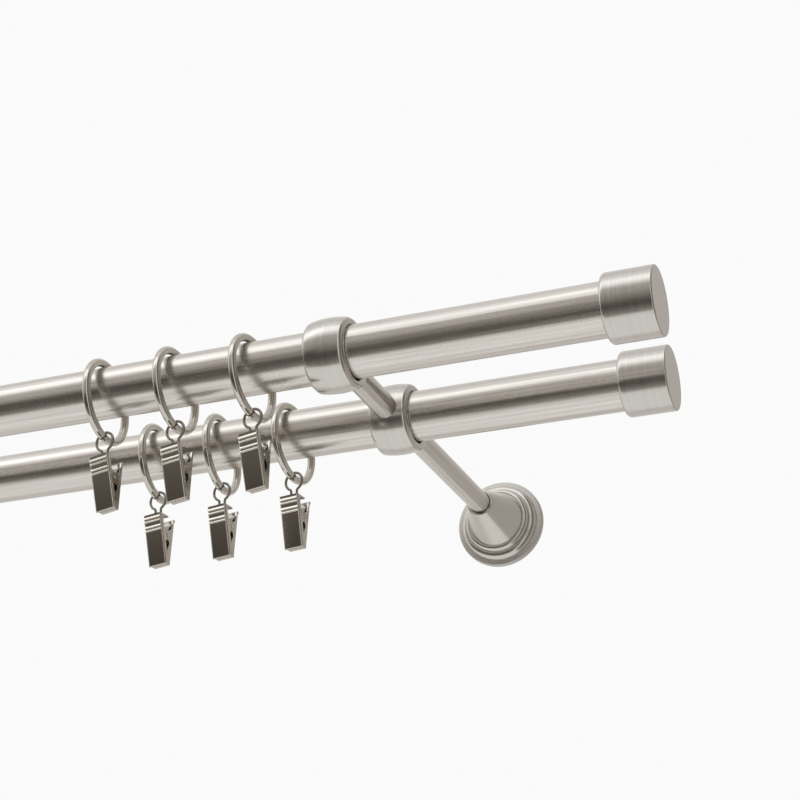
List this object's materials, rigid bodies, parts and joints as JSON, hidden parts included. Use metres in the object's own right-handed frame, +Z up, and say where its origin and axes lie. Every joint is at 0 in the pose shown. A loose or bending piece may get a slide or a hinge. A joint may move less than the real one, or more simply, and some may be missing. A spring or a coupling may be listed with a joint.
{
  "type": "double curtain pole",
  "caption": "Double curtain pole: parallel satin steel tubes with drum end caps on turned wall brackets, with hanging rings that carry sprung curtain clips.",
  "frame": {"origin": "centre of the right bracket's wall plate, on the wall plane, at the height of the arm's axis", "axes": "+X along the poles to the right as seen from the room, +Y into the wall, +Z up"},
  "size_m": [1.219, 0.2575, 0.0863],
  "materials": {
    "satin_steel": "satin, brushed along the tube and round the turned pieces",
    "plated_steel": "zinc plated, dull",
    "screw_steel": "plain, dull",
    "ring_nickel": "nickel plated, semi bright",
    "clip_nickel": "nickel plated, bright",
    "spring_steel": "rolled strip, plain"
  },
  "bodies": {
    "pole_frame": {"front_pole": "satin_steel", "rear_pole": "satin_steel", "front_right_cap": "satin_steel", "front_left_cap": "satin_steel", "rear_right_cap": "satin_steel", "rear_left_cap": "satin_steel", "cap_screws": "screw_steel", "right_wall_plate": "plated_steel", "right_arm": "satin_steel", "right_stub": "satin_steel", "right_front_collar": "satin_steel", "right_rear_collar": "satin_steel", "right_rosette": "satin_steel", "left_wall_plate": "plated_steel", "left_arm": "satin_steel", "left_stub": "satin_steel", "left_front_collar": "satin_steel", "left_rear_collar": "satin_steel", "left_rosette": "satin_steel", "collar_screws": "screw_steel", "arm_screws": "screw_steel", "rosette_screws": "screw_steel"},
    "front_ring_1_hoop": {"front_ring_1": "ring_nickel"},
    "front_ring_1_clip": {"front_ring_1_eye": "clip_nickel", "front_ring_1_jaw": "clip_nickel", "front_ring_1_spring": "spring_steel", "front_ring_1_pin": "clip_nickel"},
    "front_ring_1_rear_jaw": {"front_ring_1_lever": "clip_nickel"},
    "front_ring_2_hoop": {"front_ring_2": "ring_nickel"},
    "front_ring_2_clip": {"front_ring_2_eye": "clip_nickel", "front_ring_2_jaw": "clip_nickel", "front_ring_2_spring": "spring_steel", "front_ring_2_pin": "clip_nickel"},
    "front_ring_2_rear_jaw": {"front_ring_2_lever": "clip_nickel"},
    "front_ring_3_hoop": {"front_ring_3": "ring_nickel"},
    "front_ring_3_clip": {"front_ring_3_eye": "clip_nickel", "front_ring_3_jaw": "clip_nickel", "front_ring_3_spring": "spring_steel", "front_ring_3_pin": "clip_nickel"},
    "front_ring_3_rear_jaw": {"front_ring_3_lever": "clip_nickel"},
    "rear_ring_1_hoop": {"rear_ring_1": "ring_nickel"},
    "rear_ring_1_clip": {"rear_ring_1_eye": "clip_nickel", "rear_ring_1_jaw": "clip_nickel", "rear_ring_1_spring": "spring_steel", "rear_ring_1_pin": "clip_nickel"},
    "rear_ring_1_rear_jaw": {"rear_ring_1_lever": "clip_nickel"},
    "rear_ring_2_hoop": {"rear_ring_2": "ring_nickel"},
    "rear_ring_2_clip": {"rear_ring_2_eye": "clip_nickel", "rear_ring_2_jaw": "clip_nickel", "rear_ring_2_spring": "spring_steel", "rear_ring_2_pin": "clip_nickel"},
    "rear_ring_2_rear_jaw": {"rear_ring_2_lever": "clip_nickel"},
    "rear_ring_3_hoop": {"rear_ring_3": "ring_nickel"},
    "rear_ring_3_clip": {"rear_ring_3_eye": "clip_nickel", "rear_ring_3_jaw": "clip_nickel", "rear_ring_3_spring": "spring_steel", "rear_ring_3_pin": "clip_nickel"},
    "rear_ring_3_rear_jaw": {"rear_ring_3_lever": "clip_nickel"}
  },
  "joints": [
    {"name": "front_ring_1_slide", "type": "slide", "parent": "pole_frame", "child": "front_ring_1_hoop", "axis": [1, 0, 0], "range_m": [-0.76, 0.012]},
    {"name": "front_ring_1_swing", "type": "hinge", "parent": "front_ring_1_hoop", "child": "front_ring_1_clip", "pos_m": [-0.1177, -0.23591, -0.02393], "axis": [-0.0523, 0.9986, 0], "range_deg": [-15, 15]},
    {"name": "front_ring_1_open", "type": "hinge", "parent": "front_ring_1_clip", "child": "front_ring_1_rear_jaw", "pos_m": [-0.11509, -0.23614, -0.04527], "axis": [0.9888, -0.0865, 0.1219], "range_deg": [0, 25], "stiffness_Nm_per_rad": 0.02, "springref_deg": -28.65, "deforming": ["front_ring_1_spring"]},
    {"name": "front_ring_2_slide", "type": "slide", "parent": "pole_frame", "child": "front_ring_2_hoop", "axis": [1, 0, 0], "range_m": [-0.012, 0.013]},
    {"name": "front_ring_2_swing", "type": "hinge", "parent": "front_ring_2_hoop", "child": "front_ring_2_clip", "pos_m": [-0.0799, -0.23597, -0.02393], "axis": [-0.0175, 0.9998, 0], "range_deg": [-15, 15]},
    {"name": "front_ring_2_open", "type": "hinge", "parent": "front_ring_2_clip", "child": "front_ring_2_rear_jaw", "pos_m": [-0.07766, -0.23617, -0.04531], "axis": [0.9907, -0.0867, 0.1045], "range_deg": [0, 25], "stiffness_Nm_per_rad": 0.02, "springref_deg": -28.65, "deforming": ["front_ring_2_spring"]},
    {"name": "front_ring_3_slide", "type": "slide", "parent": "pole_frame", "child": "front_ring_3_hoop", "axis": [1, 0, 0], "range_m": [-0.013, 0.025]},
    {"name": "front_ring_3_swing", "type": "hinge", "parent": "front_ring_3_hoop", "child": "front_ring_3_clip", "pos_m": [-0.0399, -0.23606, -0.02393], "axis": [0.0349, 0.9994, 0], "range_deg": [-15, 15]},
    {"name": "front_ring_3_open", "type": "hinge", "parent": "front_ring_3_clip", "child": "front_ring_3_rear_jaw", "pos_m": [-0.03766, -0.23626, -0.04531], "axis": [0.9907, -0.0867, 0.1045], "range_deg": [0, 25], "stiffness_Nm_per_rad": 0.02, "springref_deg": -28.65, "deforming": ["front_ring_3_spring"]},
    {"name": "rear_ring_1_slide", "type": "slide", "parent": "pole_frame", "child": "rear_ring_1_hoop", "axis": [1, 0, 0], "range_m": [-0.746, 0.0115]},
    {"name": "rear_ring_1_swing", "type": "hinge", "parent": "rear_ring_1_hoop", "child": "rear_ring_1_clip", "pos_m": [-0.132, -0.15891, -0.02393], "axis": [-0.0523, 0.9986, 0], "range_deg": [-15, 15]},
    {"name": "rear_ring_1_open", "type": "hinge", "parent": "rear_ring_1_clip", "child": "rear_ring_1_rear_jaw", "pos_m": [-0.13014, -0.15907, -0.04534], "axis": [0.9924, -0.0868, 0.0872], "range_deg": [0, 25], "stiffness_Nm_per_rad": 0.02, "springref_deg": -28.65, "deforming": ["rear_ring_1_spring"]},
    {"name": "rear_ring_2_slide", "type": "slide", "parent": "pole_frame", "child": "rear_ring_2_hoop", "axis": [1, 0, 0], "range_m": [-0.0115, 0.013]},
    {"name": "rear_ring_2_swing", "type": "hinge", "parent": "rear_ring_2_hoop", "child": "rear_ring_2_clip", "pos_m": [-0.0953, -0.15891, -0.02393], "axis": [-0.0523, 0.9986, 0], "range_deg": [-15, 15]},
    {"name": "rear_ring_2_open", "type": "hinge", "parent": "rear_ring_2_clip", "child": "rear_ring_2_rear_jaw", "pos_m": [-0.09381, -0.15904, -0.04537], "axis": [0.9938, -0.0869, 0.0698], "range_deg": [0, 25], "stiffness_Nm_per_rad": 0.02, "springref_deg": -28.65, "deforming": ["rear_ring_2_spring"]},
    {"name": "rear_ring_3_slide", "type": "slide", "parent": "pole_frame", "child": "rear_ring_3_hoop", "axis": [1, 0, 0], "range_m": [-0.013, 0.04]},
    {"name": "rear_ring_3_swing", "type": "hinge", "parent": "rear_ring_3_hoop", "child": "rear_ring_3_clip", "pos_m": [-0.0551, -0.15909, -0.02393], "axis": [0.0523, 0.9986, 0], "range_deg": [-15, 15]},
    {"name": "rear_ring_3_open", "type": "hinge", "parent": "rear_ring_3_clip", "child": "rear_ring_3_rear_jaw", "pos_m": [-0.05398, -0.15919, -0.0454], "axis": [0.9948, -0.087, 0.0523], "range_deg": [0, 25], "stiffness_Nm_per_rad": 0.02, "springref_deg": -28.65, "deforming": ["rear_ring_3_spring"]}
  ]
}
